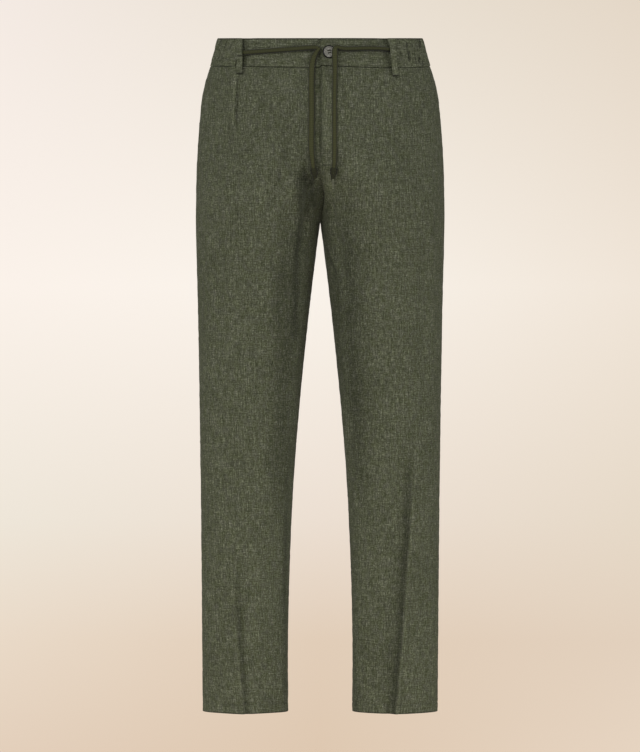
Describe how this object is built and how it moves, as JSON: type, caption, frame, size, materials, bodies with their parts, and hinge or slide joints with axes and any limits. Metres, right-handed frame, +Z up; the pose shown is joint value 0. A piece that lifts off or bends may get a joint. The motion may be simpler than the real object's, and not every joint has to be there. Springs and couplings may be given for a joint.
{
  "type": "linen drawstring trousers",
  "caption": "Straight-leg linen trousers, hollow as if worn, with a part-gathered waistband, belt loops, a button, a fly and a drawstring.",
  "frame": {"origin": "middle of the waist opening, half way up the waistband, where the wearer's waist holds the trousers up", "axes": "+Z up towards the waist opening, the front faces -Y, +X is the wearer's left"},
  "size_m": [0.3824, 0.2538, 1.048],
  "materials": {
    "linen": "matt",
    "linen_band": "matt",
    "cord": "matt",
    "button": "satin"
  },
  "bodies": {
    "root": {"front_right": "linen", "front_left": "linen", "back_right": "linen", "back_left": "linen", "waistband_front_right": "linen_band", "waistband_front_left": "linen_band", "waistband_back": "linen_band", "fly_underlap": "linen", "belt_loop_front_right": "linen_band", "belt_loop_front_left": "linen_band", "belt_loop_back_right": "linen_band", "belt_loop_back_centre": "linen_band", "belt_loop_back_left": "linen_band", "button": "button", "drawstring_right": "cord", "drawstring_right_knot": "cord", "drawstring_left": "cord", "drawstring_left_knot": "cord"}
  },
  "joints": []
}
